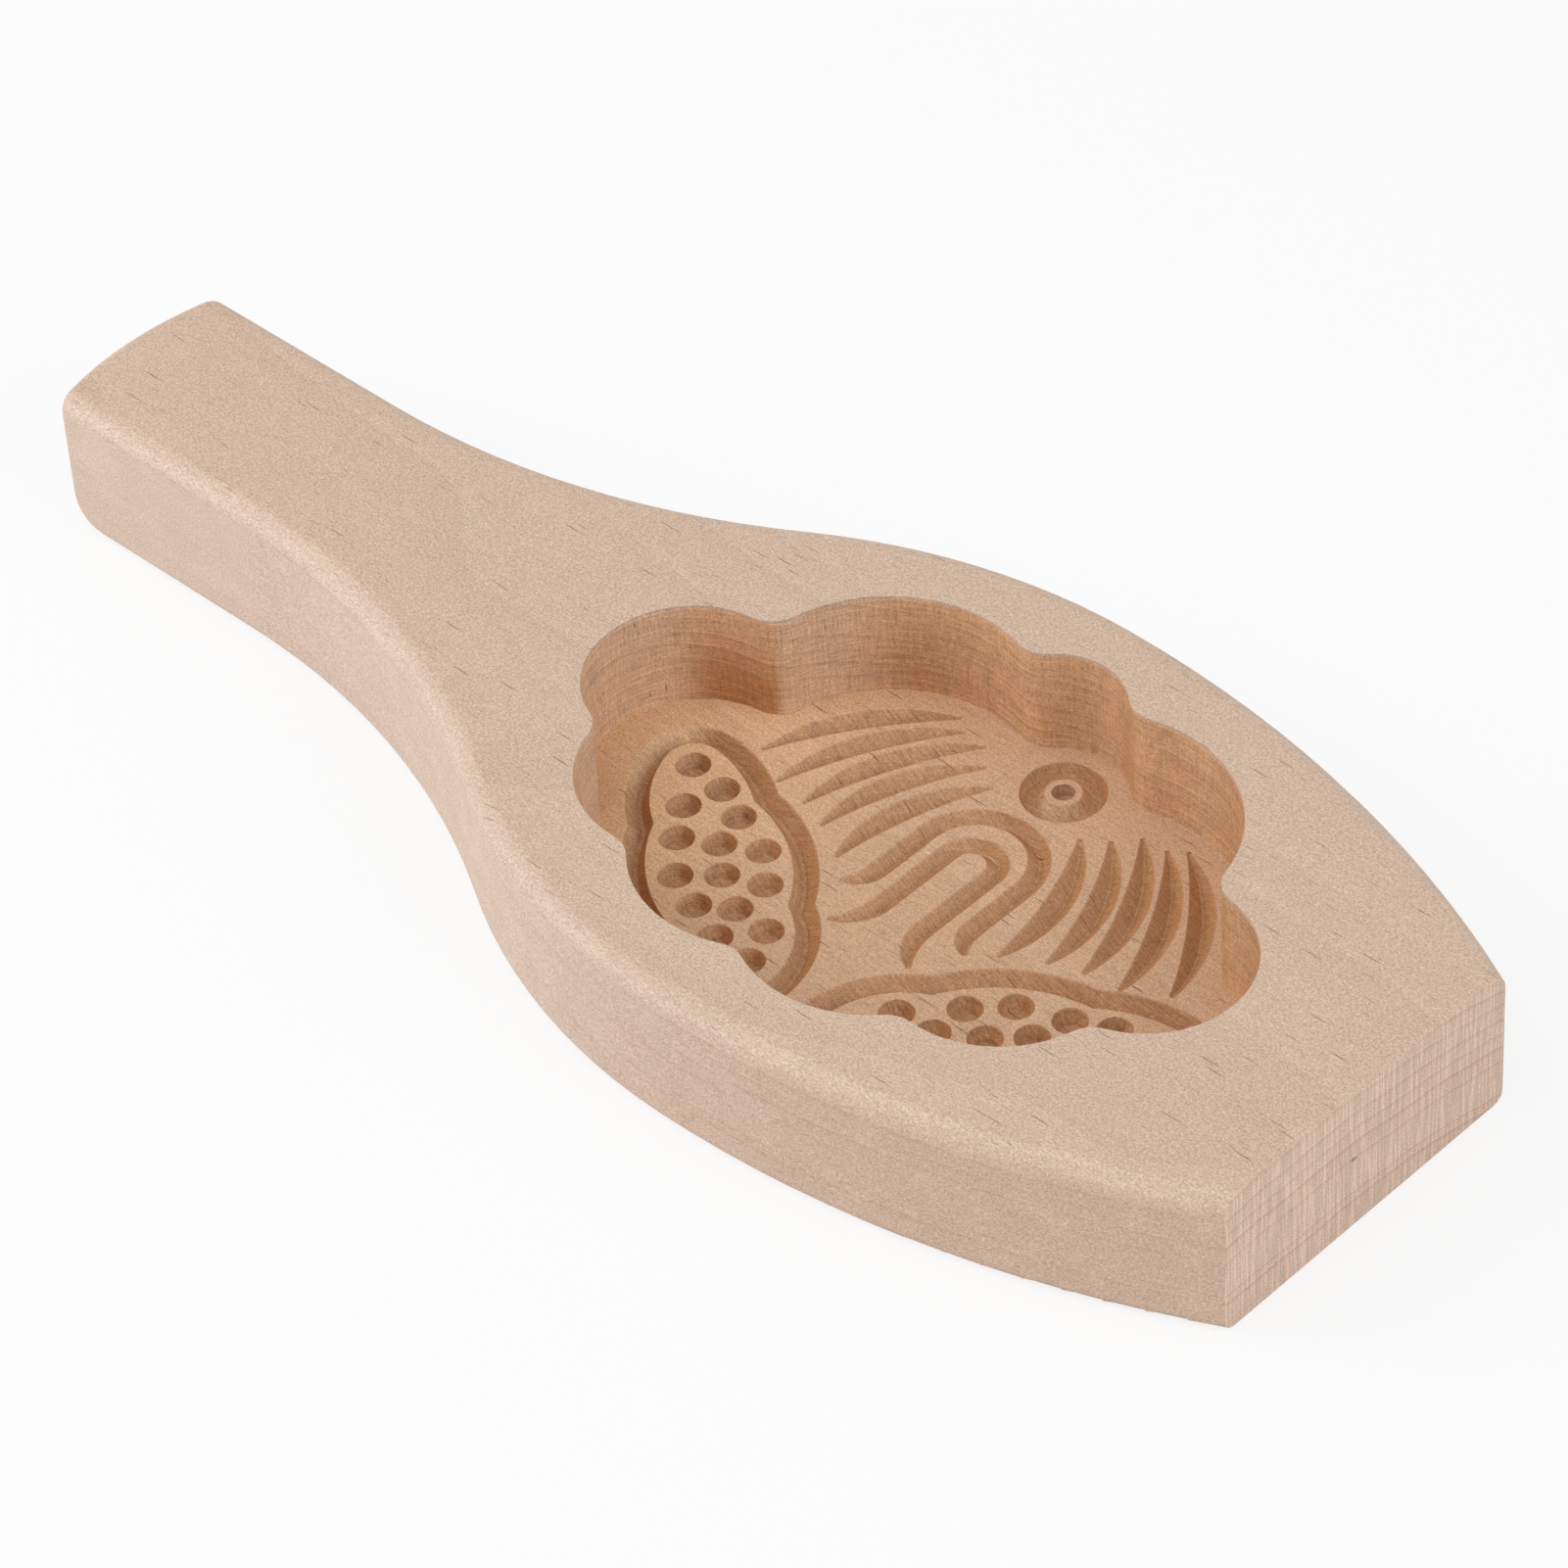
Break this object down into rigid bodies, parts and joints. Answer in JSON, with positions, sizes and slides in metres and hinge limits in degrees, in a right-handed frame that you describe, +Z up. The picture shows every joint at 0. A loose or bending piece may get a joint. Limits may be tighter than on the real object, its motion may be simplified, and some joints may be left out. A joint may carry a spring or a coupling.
{
  "type": "wooden fondant mold",
  "caption": "Solid beech paddle mold with a handle and a deep lobed cavity whose floor carries a carved fish-like ornament, for pressing fondant or dough.",
  "frame": {"origin": "middle of the footprint, on the flat underside", "axes": "+X from the handle end to the front end along the length, +Y across the width, +Z up out of the cavity"},
  "size_m": [0.25, 0.1014, 0.0252],
  "materials": {
    "beech": "sanded, unfinished"
  },
  "bodies": {
    "root": {"mold_body": "beech"}
  },
  "joints": []
}
